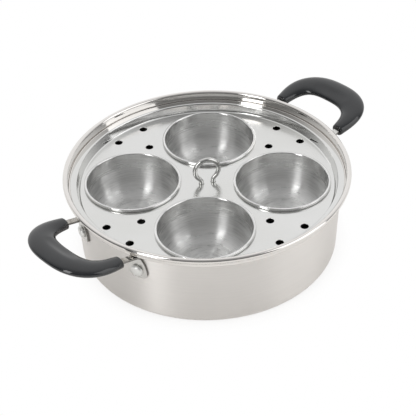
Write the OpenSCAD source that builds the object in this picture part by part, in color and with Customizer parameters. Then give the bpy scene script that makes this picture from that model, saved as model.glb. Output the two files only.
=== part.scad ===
// Egg poacher pan: a shallow pan with two handles, a drop-in tray with a lifting loop, and four loose egg cups.
// Millimetres. The origin is the centre of the base, +Z is up, and the two handles lie along X.

/* [Pan] */
// Outer diameter of the pan at its base
base_d = 200; // [180:1:205]
// Height from the table to the top of the rolled rim
pan_h = 68; // [62:1:110]
// Outer diameter over the rolled rim
rim_d = 220; // [216:1:240]
// Thickness of the pan's sheet
pan_t = 1; // [0.6:0.1:1.5]
// Thickness of the rolled rim
rim_bead_d = 4; // [3:0.1:5]
// Depth of the collar, from the top of the rim down to the shoulder that carries the tray
collar_depth = 8; // [7:0.5:12]
// Width of the shoulder, from the collar in to the side
shoulder_w = 4.2; // [3.8:0.1:6]
// Outside radius where the base turns up into the side
base_corner_r = 5; // [3:0.5:12]

/* [Tray] */
// Gap between the tray's edge and the collar
tray_gap = 1; // [0.4:0.1:1.2]
// Gap between the tray's step and the pan's side
step_gap = 1.8; // [1.4:0.1:3]
// Thickness of the tray's sheet
tray_t = 0.8; // [0.5:0.1:1]
// How far the tray's plate lies below its flange
tray_drop = 7; // [4:0.5:12]
// How far the step leans inwards on its way down
step_lean = 2.2; // [1:0.1:4]
// Diameter of a steam hole
steam_hole_d = 6; // [3:0.5:7]
// Half the angle between the two outer steam holes of a group of three
steam_pair_turn = 8.3; // [5:0.1:11]

/* [Egg cups] */
// Outer diameter over a cup's rolled rim
cup_d = 75; // [60:0.5:76]
// Inside depth of a cup, from the top of its rim
cup_depth = 35; // [22:1:42]
// Thickness of a cup's sheet
cup_t = 0.6; // [0.4:0.1:0.8]
// Width of a cup's rolled rim
cup_bead_w = 2.2; // [2:0.1:3]
// Height of a cup's rolled rim above the tray
cup_bead_h = 2.4; // [2:0.1:4]
// How much narrower a cup's radius is at the bottom than at the rim
cup_taper = 1.8; // [0.5:0.1:4]
// Outside radius where a cup's wall turns into its bottom
cup_corner_r = 14; // [6:0.5:16]
// Gap between a cup's wall and the edge of its hole
cup_gap = 0.4; // [0.3:0.1:0.8]
// Distance from a cup's rim to the edge of the tray's plate
cup_edge_gap = 2.8; // [1:0.1:4]

/* [Lifting loop] */
// Diameter of the loop's wire
loop_wire_d = 3.7; // [2.5:0.1:4]
// Outer diameter of the ring
loop_d = 22.5; // [18:0.5:23]
// Height of the loop above the tray
loop_h = 23; // [22.5:0.5:28]
// Distance between the middles of the two legs
loop_neck_w = 9.4; // [6:0.2:10.4]
// Radius of the bend from each leg into the ring, along the middle of the wire
loop_bend_r = 4.2; // [3:0.2:7]
// Direction that the ring faces, about the upright axis
loop_turn = -27; // [-45:1:45]

/* [Handles] */
// Angle between the middle of a handle and each of its two rivets
rivet_turn = 17.5; // [15:0.1:20]
// How far the rivets lie below the top of the rim
rivet_drop = 23; // [20:0.5:26]
// How far the ends of a grip lie outside the rim
grip_end_gap = 3.5; // [2:0.1:10]
// How far the middle line of a grip lies outside the rim at its furthest point
grip_reach = 35.9; // [32:0.1:45]
// How far the ends of a grip lie above the underside of the shoulder
grip_end_lift = 1.9; // [0.8:0.1:3]
// How far the middle line of a grip lies below the top of the rim at its furthest point
grip_mid_drop = 0; // [-4:0.2:8]
// Width of a grip at its ends
grip_end_w = 10; // [9:0.5:14]
// Width of a grip at its middle
grip_mid_w = 22; // [16:0.5:24]
// Thickness of a grip
grip_t = 8.8; // [8:0.2:12]
// How steeply a grip's section leans up towards its outer edge, at its middle
grip_lean = 10; // [0:1:20]

/* [Brackets and rivets] */
// Width of a bracket's foot
foot_w = 15.4; // [13:0.2:18]
// Thickness of a bracket's foot
foot_t = 1.4; // [1:0.1:2]
// How far a foot reaches below its rivet
foot_below = 7.4; // [5.4:0.2:8]
// Width of a bracket's arm
arm_w = 5; // [3:0.2:6]
// Thickness of a bracket's arm
arm_t = 1.8; // [1.2:0.1:2.4]
// Length of the tang that goes into the grip
tang_l = 10; // [6:0.5:12]
// Diameter of a rivet's domed head
rivet_head_d = 9.6; // [7:0.2:10]
// Height of a rivet's domed head
rivet_head_h = 2.8; // [1.5:0.1:3.5]
// Diameter of a rivet's shank
rivet_shank_d = 4; // [3:0.1:5]

/* [Hidden] */

// Smoothness
ring_steps = 180;
wire_steps = 32;
corner_steps = 6;

// One overrun serves all cuts
cut = 1;

// Pan
rim_r = rim_d / 2;
collar_r = rim_r - rim_bead_d;
shoulder_z = pan_h - collar_depth;
side_r = collar_r - shoulder_w + pan_t;
side_top_z = shoulder_z - pan_t;
side_turn_r = 0.8;
collar_turn_r = 1.6;

// Tray
tray_r = collar_r - tray_gap;
flange_z = shoulder_z + tray_t;
plate_z = flange_z - tray_drop;
step_top_r = collar_r - shoulder_w - step_gap;
plate_r = step_top_r - step_lean;
step_turn_r = 1.2;
steam_inner_share = 0.69;
steam_outer_share = 0.93;
groups = 4;

// Cups
cup_bore_r = cup_d / 2 - cup_bead_w;
cup_wall_r = cup_bore_r + cup_t;
cup_hole_r = cup_wall_r + cup_gap;
cup_place_r = plate_r - cup_edge_gap - cup_d / 2;
cup_rim_z = plate_z + cup_bead_h;

// Loop
loop_r = (loop_d - loop_wire_d) / 2;
loop_z = loop_h - loop_d / 2;
loop_bend_x = loop_neck_w / 2 + loop_bend_r;
loop_bend_z = loop_z - sqrt(pow(loop_r + loop_bend_r, 2) - pow(loop_bend_x, 2));
loop_open = atan2(loop_bend_x, loop_z - loop_bend_z);
loop_leg_gap = 0.1;
loop_foot_d = 1.7 * loop_wire_d;
loop_foot_t = 0.35 * loop_wire_d;
loop_foot_z = -tray_t - loop_foot_t;
loop_steps = 36;
loop_sides = 20;

// Brackets and rivets
rivet_z = pan_h - rivet_drop;
side_lean = atan2(side_r - base_d / 2, side_top_z);
foot_gap = 0.05;
foot_top_w = 8;
foot_corner_r = 4.5;
foot_top_corner_r = 7;
foot_slant_h = 4.5;
arm_bend_r = 0.6;
arm_gap = 0.9;
arm_z = side_top_z - arm_gap - arm_t / 2;
rivet_hole_gap = 0.1;
bend_z = arm_z - arm_t / 2 - arm_bend_r;
foot_top_drop = 0.3;
foot_top_z = bend_z - foot_top_drop;
rivet_seat_gap = 0.1;
rivet_tail_d = 1.7 * rivet_shank_d;
rivet_tail_t = 0.8;

// Grips
grip_end_x = rim_r + grip_end_gap;
grip_mid_x = rim_r + grip_reach;
foot_y = wall_r(rivet_z) * sin(rivet_turn);
grip_flare = 0.3;
grip_half_span = foot_y + grip_flare;
grip_straight_l = 4.4;
grip_bow = 2.7;
grip_roundness = 2.3;
grip_steps = 28;
grip_sides = 24;
grip_end_r = 1.6;
tang_gap = 0.15;
grip_end_z = side_top_z + grip_end_lift;
grip_mid_z = pan_h - grip_mid_drop;

// Where an arm bends outwards, and how steeply it then rises to the middle of the grip's end
strip_x = sqrt(pow(wall_r(bend_z) + foot_gap + foot_t / 2, 2) - pow(grip_half_span + arm_w / 2, 2));
bend_x = strip_x + arm_t + arm_bend_r;
arm_reach = [grip_end_x - bend_x, grip_end_z - bend_z];
arm_rise = atan2(arm_reach[1], arm_reach[0]) - asin((arm_bend_r + arm_t / 2) / norm(arm_reach));
arm_l = sqrt(pow(norm(arm_reach), 2) - pow(arm_bend_r + arm_t / 2, 2));

// Outer radius of the pan's side at height z
function wall_r(z) = base_d / 2 + (side_r - base_d / 2) * z / side_top_z;

function unit(v) = v / norm(v);
function turn_of(a, b, c) = sign(cross(b - a, c - b));

// Points of an arc of radius r round middle
function arc(middle, r, start, sweep, steps) =
    [for (i = [0 : steps]) middle + r * [cos(start + sweep * i / steps), sin(start + sweep * i / steps)]];

// Points of an arc of radius r that rounds the corner b of the line a, b, c
function corner(a, b, c, r) =
    let (u = unit(a - b), v = unit(c - b), half = acos(u * v) / 2,
         middle = b + unit(u + v) * r / sin(half),
         from = b + u * r / tan(half) - middle,
         sweep = turn_of(a, b, c) * (180 - 2 * half),
         start = atan2(from[1], from[0]))
    arc(middle, r, start, sweep, corner_steps);

// The line p with its inner corners rounded by the radii r
function rounded(p, r) =
    let (last = len(p) - 1)
    concat([p[0]], [for (i = [1 : last - 1]) each corner(p[i - 1], p[i], p[i + 1], r[i - 1])], [p[last]]);

// The line p moved sideways by t, to its left if t is positive
function left(v) = [-unit(v)[1], unit(v)[0]];
function beside(p, t) =
    let (last = len(p) - 1)
    [for (i = [0 : last])
        let (m = left(i > 0 ? p[i] - p[i - 1] : p[1] - p[0]),
             n = left(i < last ? p[i + 1] - p[i] : p[last] - p[last - 1]))
        p[i] + t * (m + n) / (1 + m * n)];

function reversed(p) = [for (i = [len(p) - 1 : -1 : 0]) p[i]];

// Section of bent sheet: the line p with corner radii r, made t thick on its left side
function sheet(p, r, t) =
    let (r_beside = [for (i = [0 : len(r) - 1]) r[i] - t * turn_of(p[i], p[i + 1], p[i + 2])])
    concat(rounded(p, r), reversed(rounded(beside(p, t), r_beside)));

// Turns a section about the upright axis
module turned(points) {
    rotate_extrude($fn = ring_steps) polygon(points);
}

// Repeats a piece at the four cup places
module at_cup(i) {
    rotate([0, 0, 45 + i * 90]) translate([cup_place_r, 0, 0]) children();
}

// Puts a piece at foot i: feet 0 and 1 hold the first grip, feet 2 and 3 the second
foot_turns = [-rivet_turn, rivet_turn, 180 - rivet_turn, 180 + rivet_turn];
module at_foot(i) {
    rotate([0, 0, foot_turns[i]]) children();
}

// A rivet's own frame: its axis stands square to the side of the pan, +Z points outwards
module at_rivet() {
    translate([wall_r(rivet_z), 0, rivet_z]) rotate([0, 90 + side_lean, 0]) children();
}

module rivet_hole() {
    hole_l = pan_t + foot_t + 2 * cut;
    at_rivet() translate([0, 0, -pan_t - cut])
        cylinder(h = hole_l, d = rivet_shank_d + 2 * rivet_hole_gap, $fn = wire_steps);
}

module pan_body() {
    line = [[0, 0], [base_d / 2, 0], [side_r, side_top_z], [collar_r + pan_t, side_top_z],
            [collar_r + pan_t, pan_h - rim_bead_d / 2]];
    color("silver") difference() {
        union() {
            turned(sheet(line, [base_corner_r, side_turn_r, collar_turn_r], pan_t));
            rotate_extrude($fn = ring_steps)
                translate([rim_r - rim_bead_d / 2, pan_h - rim_bead_d / 2])
                    circle(d = rim_bead_d, $fn = wire_steps);
        }
        for (i = [0 : 3]) at_foot(i) rivet_hole();
    }
}

module egg_tray() {
    line = [[0, plate_z], [plate_r, plate_z], [step_top_r, flange_z], [tray_r, flange_z]];
    color("gainsboro") difference() {
        turned(sheet(line, [step_turn_r, step_turn_r], -tray_t));
        for (i = [0 : groups - 1]) {
            at_cup(i) through_plate(cup_hole_r * 2, ring_steps);
            rotate([0, 0, i * 90]) steam_holes();
        }
        rotate([0, 0, loop_turn])
            for (side = [-1, 1])
                translate([side * loop_neck_w / 2, 0, 0])
                    through_plate(loop_wire_d + 2 * loop_leg_gap, wire_steps);
    }
}

// A round cut through the tray's plate
module through_plate(d, steps) {
    translate([0, 0, plate_z - tray_t - cut]) cylinder(h = tray_t + 2 * cut, d = d, $fn = steps);
}

// One steam hole between two cups, and a pair outside it
module steam_holes() {
    translate([plate_r * steam_inner_share, 0, 0]) through_plate(steam_hole_d, wire_steps);
    for (side = [-1, 1])
        rotate([0, 0, side * steam_pair_turn])
            translate([plate_r * steam_outer_share, 0, 0]) through_plate(steam_hole_d, wire_steps);
}

// Middle line of the loop's wire: up one leg, round the ring and down the other leg
function loop_line() =
    let (bend = 90 - loop_open,
         leg = [[loop_neck_w / 2, loop_foot_z]],
         foot_bend = arc([loop_bend_x, loop_bend_z], loop_bend_r, 180, -bend, corner_steps),
         ring = arc([0, loop_z], loop_r, -bend, 360 - 2 * loop_open, loop_steps),
         right = concat(leg, foot_bend))
    concat(right, inside(ring), reversed([for (p = right) [-p[0], p[1]]]));

function inside(p) = [for (i = [1 : len(p) - 2]) p[i]];

// Upright wire loop, each of its two ends headed over below the plate
module lift_loop() {
    line = loop_line();
    rings = [for (k = [0 : len(line) - 1])
        let (along = direction(line, k))
        [for (j = [0 : loop_sides - 1])
            let (a = 360 * j / loop_sides, out = loop_wire_d / 2 * cos(a))
            [line[k][0] + along[1] * out, -loop_wire_d / 2 * sin(a), line[k][1] - along[0] * out]]];
    color("silver") translate([0, 0, plate_z]) rotate([0, 0, loop_turn]) {
        skin(rings);
        for (side = [-1, 1])
            translate([side * loop_neck_w / 2, 0, loop_foot_z])
                cylinder(h = loop_foot_t, d = loop_foot_d, $fn = wire_steps);
    }
}

// Direction of a line at its place k
function direction(line, k) =
    let (ahead = line[min(k + 1, len(line) - 1)], behind = line[max(k - 1, 0)])
    unit([ahead[0] - behind[0], ahead[1] - behind[1]]);

// Solid through a row of rings, each a list of as many points, closed by a flat face at both ends
module skin(rings) {
    last = len(rings) - 1;
    n = len(rings[0]);
    function at(k, j) = k * n + j % n;
    sides = [for (k = [0 : last - 1], j = [0 : n - 1])
        each [[at(k, j), at(k + 1, j + 1), at(k + 1, j)], [at(k, j), at(k, j + 1), at(k + 1, j + 1)]]];
    caps = [[for (j = [n - 1 : -1 : 0]) at(0, j)], [for (j = [0 : n - 1]) at(last, j)]];
    polyhedron([for (ring = rings) each ring], concat(sides, caps));
}

// A cup hangs by its rolled rim, which rests flat on the tray round the hole
module egg_cup(i) {
    outside = [[0, -cup_depth - cup_t], [cup_wall_r - cup_taper, -cup_depth - cup_t], [cup_wall_r, -cup_bead_h / 2]];
    bead_r = cup_bead_w / 2;
    color("lightgray") at_cup(i) translate([0, 0, cup_rim_z]) {
        turned(sheet(outside, [cup_corner_r], cup_t));
        rotate_extrude($fn = ring_steps) translate([cup_bore_r, -cup_bead_h]) {
            square([cup_bead_w, cup_bead_h - bead_r]);
            translate([bead_r, cup_bead_h - bead_r]) circle(r = bead_r, $fn = wire_steps);
        }
    }
}

// A foot curved to the pan's side, and an arm that bends out from its top into the grip
module handle_bracket(i) {
    side = i % 2 == 0 ? -1 : 1;
    color("silver") difference() {
        union() {
            at_foot(i) foot();
            rotate([0, 0, i < 2 ? 0 : 180]) translate([0, side * grip_half_span, 0]) arm();
        }
        at_foot(i) rivet_hole();
        side_cone(foot_gap, side_top_z);
    }
}

module foot() {
    intersection() {
        side_cone(foot_gap + foot_t, foot_top_z);
        rotate([90, 0, 90]) linear_extrude(rim_r) foot_outline();
    }
}

// The shape of the pan's side, grown by a gap, from below the feet up to a height
module side_cone(gap, high) {
    low = rivet_z - foot_w;
    turned([[0, low], [wall_r(low) + gap, low], [wall_r(high) + gap, high], [0, high]]);
}

// A tongue with round corners, narrowing at its top towards the arm
module foot_outline() {
    low = rivet_z - foot_below;
    side_x = foot_w / 2;
    slant_z = foot_top_z - foot_slant_h;
    edge = [[-foot_top_w / 2, foot_top_z], [-side_x, slant_z], [-side_x, low],
            [side_x, low], [side_x, slant_z], [foot_top_w / 2, foot_top_z]];
    polygon(rounded(edge, [foot_top_corner_r, foot_corner_r, foot_corner_r, foot_top_corner_r]));
}

// The strip rises from the foot, bends outwards and runs up into the grip
module arm() {
    along = [cos(arm_rise), sin(arm_rise)];
    straight = [bend_x, bend_z] + arm_bend_r * [-along[1], along[0]];
    line = [[bend_x - arm_bend_r, bend_z - arm_w],
            [bend_x - arm_bend_r, bend_z + arm_bend_r * (1 - along[1]) / along[0]],
            straight + (arm_l + tang_l) * along];
    rotate([90, 0, 0]) translate([0, 0, -arm_w / 2]) linear_extrude(arm_w)
        polygon(sheet(line, [arm_bend_r], arm_t));
}

// A grip is one swept section: level and narrow at its ends, wide and leaning at its middle
module handle_grip(i) {
    socket_w = arm_w + 2 * tang_gap;
    socket_t = arm_t + 2 * tang_gap;
    line = grip_line();
    color("dimgray") rotate([0, 0, i * 180]) difference() {
        skin([for (k = [0 : len(line) - 1]) grip_ring(line, k)]);
        for (side = [-1, 1])
            translate([bend_x, side * grip_half_span, bend_z]) rotate([0, -arm_rise, 0])
                translate([arm_l - arm_t, -socket_w / 2, arm_bend_r - tang_gap])
                    cube([arm_t + tang_l + tang_gap, socket_w, socket_t]);
    }
}

// Middle line of a grip in plan, for s from -1 to 1: straight at the ends, then a bowed arc
function grip_point(s) =
    let (turn = abs(s) * 90, bow_x = grip_end_x + grip_straight_l)
    [bow_x + (grip_mid_x - bow_x) * pow(cos(turn), 2 / grip_bow),
     sign(s) * grip_half_span * pow(sin(turn), 2 / grip_bow)];

// Its places: the two straight ends, each with a rounded end face, and the arc between them
end_share = [0, 0.13, 0.5, 1];
end_size_share = [0.82, 0.93, 0.985, 1];
function grip_end(side) = [for (k = [0 : 3])
    [grip_end_x + end_share[k] * grip_end_r, side * grip_half_span, end_size_share[k]]];
function grip_line() = concat(
    grip_end(-1),
    [for (k = [0 : grip_steps]) let (p = grip_point(2 * k / grip_steps - 1)) [p[0], p[1], 1]],
    reversed(grip_end(1)));

// One ring of the section at place k of the line
function grip_ring(line, k) =
    let (here = line[k],
         along = direction(line, k),
         out = [along[1], -along[0]],
         share = (here[0] - grip_end_x) / (grip_mid_x - grip_end_x),
         half_w = here[2] * (grip_end_w + (grip_mid_w - grip_end_w) * share) / 2,
         half_t = here[2] * grip_t / 2,
         lean = grip_lean * share,
         z = grip_end_z + (grip_mid_z - grip_end_z) * share)
    [for (j = [0 : grip_sides - 1])
        let (a = 360 * j / grip_sides,
             u = half_w * sign(cos(a)) * pow(abs(cos(a)), 2 / grip_roundness),
             v = half_t * sign(sin(a)) * pow(abs(sin(a)), 2 / grip_roundness),
             level = u * cos(lean) - v * sin(lean))
        [here[0] + out[0] * level, here[1] + out[1] * level, z + u * sin(lean) + v * cos(lean)]];

// A rivet: domed head outside the foot, shank through foot and side, flat tail inside the pan
module rivet(i) {
    head_z = foot_gap + foot_t + rivet_seat_gap;
    tail_z = -pan_t - rivet_seat_gap;
    head_r = rivet_head_d / 2;
    dome_r = (head_r * head_r + rivet_head_h * rivet_head_h) / (2 * rivet_head_h);
    dome_turn = asin(head_r / dome_r);
    dome = [for (k = [0 : corner_steps * 2])
        let (a = dome_turn * k / (corner_steps * 2))
        [dome_r * sin(a), head_z + rivet_head_h - dome_r + dome_r * cos(a)]];
    outline = concat([[0, tail_z - rivet_tail_t], [rivet_tail_d / 2, tail_z - rivet_tail_t],
                      [rivet_tail_d / 2, tail_z], [rivet_shank_d / 2, tail_z], [rivet_shank_d / 2, head_z]],
                     reversed(dome));
    color("gainsboro") at_foot(i) at_rivet() rotate_extrude($fn = wire_steps * 2) polygon(outline);
}

pan_body();
egg_tray();
lift_loop();
for (i = [0 : 3]) {
    egg_cup(i);
    handle_bracket(i);
    rivet(i);
}
for (i = [0 : 1])
    handle_grip(i);
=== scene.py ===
# %% [markdown]
# # An egg poacher pan in stainless steel
#
# The object is a shallow pan with two black handles. A perforated tray drops into its collar, a wire
# loop lifts the tray, and four loose cups hang in the tray by their rolled rims. Every size of the object
# is in millimetres where it is typed, and becomes metres where Blender takes it. The lamps are in metres.

from math import asin, atan2, cos, pi, radians, sin, sqrt

import bpy
from mathutils import Matrix, Vector


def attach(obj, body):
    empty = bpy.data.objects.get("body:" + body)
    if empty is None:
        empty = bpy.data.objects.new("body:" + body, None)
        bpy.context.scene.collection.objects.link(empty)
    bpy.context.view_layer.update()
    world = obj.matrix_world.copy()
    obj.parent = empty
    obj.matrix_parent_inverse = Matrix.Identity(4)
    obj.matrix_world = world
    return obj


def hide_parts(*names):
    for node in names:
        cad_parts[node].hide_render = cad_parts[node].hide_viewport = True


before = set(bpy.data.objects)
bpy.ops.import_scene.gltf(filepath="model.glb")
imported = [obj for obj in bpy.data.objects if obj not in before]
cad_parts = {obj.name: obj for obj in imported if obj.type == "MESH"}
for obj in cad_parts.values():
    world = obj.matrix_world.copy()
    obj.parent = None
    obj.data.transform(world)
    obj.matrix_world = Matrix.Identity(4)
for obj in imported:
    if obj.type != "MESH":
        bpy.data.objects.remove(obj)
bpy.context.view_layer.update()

# %% [markdown]
# ## Small helpers
#
# A node tree is easier to read in a script when one line makes one node. The helper below makes a node,
# applies its settings, and fills its sockets with numbers or with links. What isn't set is Blender's
# default. The next ones empty a tree, put an object in the scene and build a mesh. The last one reads a
# colour the way a picture editor shows it, and turns it to the linear numbers that the renderer wants.

# %% One node per line
MM = 0.001


def add(tree, kind, sockets=None, **settings):
    """Adds a node. Each socket gets a value, or a link from a node, an output or each of a list."""
    node = tree.nodes.new(kind)
    count = len(tree.nodes)
    node.location = (220 * (count % 10), -260 * (count // 10))
    for name, value in settings.items():
        setattr(node, name, value)
    for key, value in (sockets or {}).items():
        for source in value if isinstance(value, list) else [value]:
            if isinstance(source, bpy.types.Node):
                source = source.outputs[0]
            if isinstance(source, bpy.types.NodeSocket):
                tree.links.new(source, node.inputs[key])
            else:
                node.inputs[key].default_value = source
    return node


def empty_tree(owner):
    """Turns nodes on for a material or a world, and empties its tree."""
    owner.use_nodes = True
    owner.node_tree.nodes.clear()
    return owner.node_tree


def in_scene(name, data):
    """A new object with the given data, put in the scene."""
    made = bpy.data.objects.new(name, data)
    bpy.context.scene.collection.objects.link(made)
    return made


def mesh_object(name, points, edges=(), faces=(), materials=(), **values):
    """A smooth mesh in the scene: points in millimetres, and named lists with a number for each point."""
    mesh = bpy.data.meshes.new(name)
    mesh.from_pydata([[c * MM for c in p] for p in points], edges, faces, shade_flat=False)
    for label, numbers in values.items():
        mesh.attributes.new(label, "FLOAT", "POINT").data.foreach_set("value", numbers)
    for material in materials:
        mesh.materials.append(material)
    return in_scene(name, mesh)


def line_object(name, points, **values):
    """A loose line of edges through the points: a section or a path for a Geometry Nodes tree."""
    return mesh_object(name, points, [(k, k + 1) for k in range(len(points) - 1)], **values)


def kept(source, name):
    """A plain mesh object with what the source's modifiers make of it."""
    ready = source.evaluated_get(bpy.context.evaluated_depsgraph_get())
    mesh = bpy.data.meshes.new_from_object(ready)
    mesh.name = name
    print(f"{name}: {len(mesh.vertices)} points, {len(mesh.polygons)} faces")
    return in_scene(name, mesh)


def hex_colour(code):
    """Linear colour of an sRGB hex code such as d8d8d6."""
    shares = [int(code[k:k + 2], 16) / 255 for k in (0, 2, 4)]
    linear = [s / 12.92 if s <= 0.04045 else ((s + 0.055) / 1.055) ** 2.4 for s in shares]
    return (*linear, 1.0)


# %% [markdown]
# ## Lines of bent sheet
#
# Everything round here is sheet metal: a flat disc pressed or spun into shape. Its section is a line
# with rounded corners, drawn once on the outside and once more on the inside. Each arc gets a guard
# point just before and after it, so that smooth shading stays flat where the metal is flat.

# %% Section lines
GUARD = 0.25   # mm between an arc and its guard point


def rounded(points, radii, steps=8):
    """The line through the points, in millimetres, with its inner corners rounded."""
    points = [Vector(p) for p in points]
    line = [points[0]]
    for before, at, after, radius in zip(points, points[1:], points[2:], radii):
        back, ahead = (before - at).normalized(), (after - at).normalized()
        half = back.angle(ahead) / 2
        reach = radius * cos(half) / sin(half)
        middle = at + (back + ahead).normalized() * radius / sin(half)
        first = (at + back * reach - middle).normalized()
        final = (at + ahead * reach - middle).normalized()
        if reach + GUARD < (before - at).length / 2 or before == points[0]:
            line.append(at + back * (reach + GUARD))
        line += [middle + radius * first.slerp(final, k / steps) for k in range(steps + 1)]
        if reach + GUARD < (after - at).length / 2 or after == points[-1]:
            line.append(at + ahead * (reach + GUARD))
    line.append(points[-1])
    return line


def arc(middle, radius, start, sweep, steps):
    """Points of an arc, with angles in degrees."""
    turns = [radians(start + sweep * k / steps) for k in range(steps + 1)]
    return [Vector(middle) + radius * Vector((cos(a), sin(a))) for a in turns]


def oval(half_w, half_h, power, turns):
    """Points of an ellipse at the given angles. A power below 1 makes it squarer."""
    points = []
    for turn in turns:
        x, y = (abs(value) ** power * (1 if value > 0 else -1) for value in (cos(turn), sin(turn)))
        points.append((half_w * x, half_h * y))
    return points


def polar(radius, turn, z=0.0):
    """A place at a radius, an angle and a height."""
    return radius * cos(turn), radius * sin(turn), z


def beside(points, distance):
    """The line moved sideways, to its left for a positive distance, with mitred corners."""
    points = [Vector(p) for p in points]
    lefts = [Vector((a.y - b.y, b.x - a.x)).normalized() for a, b in zip(points, points[1:])]
    moved = []
    for at, m, n in zip(points, [lefts[0]] + lefts, lefts + [lefts[-1]]):
        moved.append(at + distance * (m + n) / (1 + m.dot(n)))
    return moved


def section_object(name, line, polish=None):
    """A section in the XZ plane, whose points know their polish and how far along the line they are."""
    along = [0.0]
    for before, at in zip(line, line[1:]):
        along.append(along[-1] + (at - before).length * MM)
    shine = [polish(p) if polish else 1.0 for p in line]
    return line_object(name, [(p.x, 0, p.y) for p in line], along=along, polish=shine)


# %% [markdown]
# ## Turned sheet, in Geometry Nodes
#
# A pan, a cup and a rivet are all one section turned about an axis. A lathe or a spinning chuck makes
# the real ones the same way. Blender has a Screw modifier, but a node tree can do more in the same
# step: it carries the polish of each point round the ring, and it stores a UV map whose U is the share
# of the turn and whose V is the length along the section. The brushed finish later follows that map.
#
# The tree lays a flat grid with one row per step and one column per point of the section, then moves
# each grid point to its section point, turned by its share. The seam and the poles are merged last.

# %% The turning tree


def new_tree(name, inputs):
    """An empty Geometry Nodes tree with named inputs and a material. Returns the tree and the inputs."""
    tree = bpy.data.node_groups.new(name, "GeometryNodeTree")
    for label, kind, *value in inputs + [("Material", "Material")]:
        socket = tree.interface.new_socket(label, in_out="INPUT", socket_type=f"NodeSocket{kind}")
        if value:
            socket.default_value = value[0]
    tree.interface.new_socket("Geometry", in_out="OUTPUT", socket_type="NodeSocketGeometry")
    return tree, add(tree, "NodeGroupInput").outputs


def store(tree, geometry, name, value, kind="FLOAT", domain="POINT"):
    """Stores a named attribute on the geometry."""
    return add(tree, "GeometryNodeStoreNamedAttribute", {"Geometry": geometry, "Name": name, "Value": value},
               data_type=kind, domain=domain)


def stored(tree, name, kind="FLOAT"):
    """Reads a named attribute."""
    return add(tree, "GeometryNodeInputNamedAttribute", {"Name": name}, data_type=kind)


def finish_tree(tree, geometry, given):
    """Ends a tree: smooth faces, real geometry in place of instances, and the piece's own material."""
    shaded = add(tree, "GeometryNodeSetShadeSmooth", {"Geometry": geometry})
    real = add(tree, "GeometryNodeRealizeInstances", {"Geometry": shaded})
    dressed = add(tree, "GeometryNodeSetMaterial", {"Geometry": real, "Material": given["Material"]})
    add(tree, "NodeGroupOutput", {"Geometry": dressed})


def turning_tree():
    tree, given = new_tree("turned sheet", [("Section", "Geometry"), ("Steps", "Int", 180),
                                            ("Place", "Vector", (0, 0, 0))])
    section, steps = given["Section"], given["Steps"]
    size = add(tree, "GeometryNodeAttributeDomainSize", {"Geometry": section})
    columns = size.outputs["Point Count"]
    rows = add(tree, "FunctionNodeIntegerMath", {0: steps, 1: 1}, operation="ADD")
    grid = add(tree, "GeometryNodeMeshGrid", {"Vertices X": rows, "Vertices Y": columns})
    index = add(tree, "GeometryNodeInputIndex")
    row = add(tree, "FunctionNodeIntegerMath", {0: index, 1: columns}, operation="DIVIDE_FLOOR")
    column = add(tree, "FunctionNodeIntegerMath", {0: index, 1: columns}, operation="MODULO")
    share = add(tree, "ShaderNodeMath", {0: row, 1: steps}, operation="DIVIDE")
    angle = add(tree, "ShaderNodeMath", {0: share, 1: 2 * pi}, operation="MULTIPLY")
    position = add(tree, "GeometryNodeInputPosition")
    point = add(tree, "GeometryNodeSampleIndex", {"Geometry": section, "Value": position, "Index": column},
                data_type="FLOAT_VECTOR")
    turned = add(tree, "ShaderNodeVectorRotate", {"Vector": point, "Angle": angle}, rotation_type="Z_AXIS")
    values = {}
    for name in ("along", "polish"):
        sample = {"Geometry": section, "Value": stored(tree, name), "Index": column}
        values[name] = add(tree, "GeometryNodeSampleIndex", sample)
    geometry = grid.outputs["Mesh"]
    for name, value in (("share", share), *values.items()):
        geometry = store(tree, geometry, name, value)
    uv = add(tree, "ShaderNodeCombineXYZ", {"X": stored(tree, "share"), "Y": stored(tree, "along")})
    geometry = store(tree, geometry, "UVMap", uv, kind="FLOAT2", domain="CORNER")
    moved = add(tree, "GeometryNodeSetPosition", {"Geometry": geometry, "Position": turned})
    merged = add(tree, "GeometryNodeMergeByDistance", {"Geometry": moved, "Distance": 1e-6})
    placed = add(tree, "GeometryNodeTransform", {"Geometry": merged, "Translation": given["Place"]})
    finish_tree(tree, placed, given)
    return tree


TURNING = turning_tree()
print("the turning tree has", len(TURNING.nodes), "nodes")


# %% Run a tree and keep its mesh


def made_by(tree, source, name, **inputs):
    """Runs a tree on the source object, and returns a plain mesh object with the result."""
    modifier = source.modifiers.new("shape", "NODES")
    modifier.node_group = tree
    for item in tree.interface.items_tree:
        key = item.name.replace(" ", "_").lower()
        if item.item_type == "SOCKET" and item.in_out == "INPUT" and key in inputs:
            modifier[item.identifier] = inputs.pop(key)
    assert not inputs, f"{tree.name} has no input named {list(inputs)}"
    piece = kept(source, name)
    source.modifiers.remove(modifier)
    return piece


def settle(piece, body, slot, *nodes):
    """The piece rides on its body and stands for its CAD nodes, which are hidden. The slot is not used."""
    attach(piece, body)
    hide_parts(*nodes)


def bin_object(holder):
    """Removes an object that only served to make a piece."""
    bpy.data.objects.remove(holder)


# %% [markdown]
# ## Brushed and polished steel
#
# The whole vessel is stainless steel. It is a metal, so it has no colour of its own under the shine:
# its base colour is how much of the room it gives back, a light grey with a trace of warmth. The pan's
# side and the inside of each cup were turned against an abrasive belt, which leaves fine scratches that
# run round the piece. Scratches spread a highlight across themselves, so a lamp shows as an upright
# streak. In Blender that is the Anisotropic socket, with a tangent along the scratches.
#
# The scratches are noise on the UV map. The turn goes in as a cosine and a sine, so that the pattern
# meets itself at the seam, and the length along the section is divided by the spacing of the grit. The
# same noise varies the roughness and, on brushed pieces, darkens the grooves a little.
# Polished pieces have no direction, so their faint haze is plain noise on the object's own coordinates.

# %% Where the scratches run
BELT = 0.8 * MM   # real belt scratches are about 0.05 mm apart, and are drawn coarser so that they show
HAZE = 1.2 * MM   # the faint marks that a polishing wheel leaves
POLISHED_BUMP = 0.12   # how much of the marks' depth is left after polishing
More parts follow.
